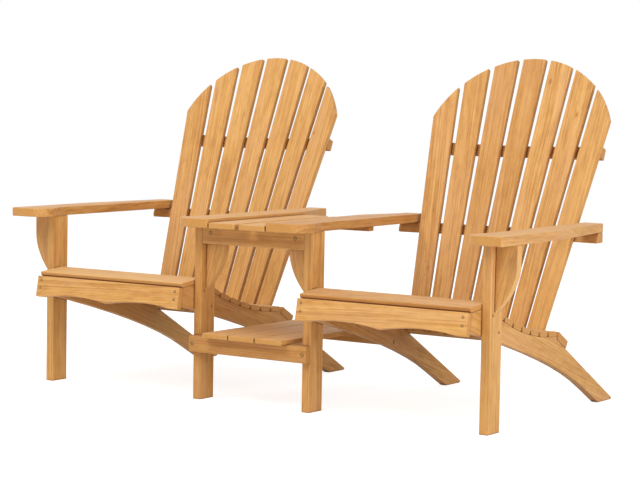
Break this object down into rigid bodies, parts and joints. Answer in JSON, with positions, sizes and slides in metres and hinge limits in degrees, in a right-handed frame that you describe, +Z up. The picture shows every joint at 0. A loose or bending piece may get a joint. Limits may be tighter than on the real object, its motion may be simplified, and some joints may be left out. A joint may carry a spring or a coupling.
{
  "type": "double lounge chair",
  "caption": "Two reclined fan-back garden lounge chairs of teak boards, joined side by side by a small table and a lower shelf between them.",
  "frame": {"origin": "on the floor under the middle of the seat's box", "axes": "+X to the right chair's side, +Y to the back, +Z up; a seated person faces -Y"},
  "size_m": [1.684, 0.8882, 1.0046],
  "materials": {
    "teak_pale": "oiled teak, sanded, satin",
    "teak_face": "oiled teak, sanded, satin",
    "teak_frame": "oiled teak, sanded, satin",
    "teak_shade": "oiled teak, sanded, satin"
  },
  "bodies": {
    "root": {"left_chair_apron": "teak_face", "left_chair_arm_rail": "teak_frame", "left_chair_back_batten": "teak_frame", "left_chair_back_slat_1": "teak_face", "left_chair_back_slat_2": "teak_face", "left_chair_back_slat_3": "teak_face", "left_chair_back_slat_4": "teak_face", "left_chair_back_slat_5": "teak_face", "left_chair_back_slat_6": "teak_face", "left_chair_back_slat_7": "teak_face", "left_chair_inner_arm": "teak_pale", "left_chair_inner_bracket": "teak_shade", "left_chair_inner_leg": "teak_face", "left_chair_inner_stringer": "teak_shade", "left_chair_outer_arm": "teak_pale", "left_chair_outer_bracket": "teak_shade", "left_chair_outer_leg": "teak_face", "left_chair_outer_stringer": "teak_shade", "left_chair_seat_front_slat": "teak_pale", "left_chair_seat_rear_rail": "teak_frame", "left_chair_seat_slat_2": "teak_pale", "left_chair_seat_slat_3": "teak_pale", "left_chair_seat_slats_4_5": "teak_pale", "left_chair_seat_slats_6_7": "teak_pale", "left_chair_seat_slats_8_9": "teak_pale", "right_chair_apron": "teak_face", "right_chair_arm_rail": "teak_frame", "right_chair_back_batten": "teak_frame", "right_chair_back_slat_1": "teak_face", "right_chair_back_slat_2": "teak_face", "right_chair_back_slat_3": "teak_face", "right_chair_back_slat_4": "teak_face", "right_chair_back_slat_5": "teak_face", "right_chair_back_slat_6": "teak_face", "right_chair_back_slat_7": "teak_face", "right_chair_inner_arm": "teak_pale", "right_chair_inner_bracket": "teak_shade", "right_chair_inner_leg": "teak_face", "right_chair_inner_stringer": "teak_shade", "right_chair_outer_arm": "teak_pale", "right_chair_outer_bracket": "teak_shade", "right_chair_outer_leg": "teak_face", "right_chair_outer_stringer": "teak_shade", "right_chair_seat_front_slat": "teak_pale", "right_chair_seat_rear_rail": "teak_frame", "right_chair_seat_slat_2": "teak_pale", "right_chair_seat_slat_3": "teak_pale", "right_chair_seat_slats_4_5": "teak_pale", "right_chair_seat_slats_6_7": "teak_pale", "right_chair_seat_slats_8_9": "teak_pale", "shelf_front_rail": "teak_face", "shelf_rear_rail": "teak_face", "shelf_slat_1": "teak_pale", "shelf_slat_2": "teak_pale", "shelf_slat_3": "teak_pale", "table_front_rail": "teak_face", "table_rear_rail": "teak_face", "table_slat_left": "teak_pale", "table_slat_right": "teak_pale"}
  },
  "joints": []
}
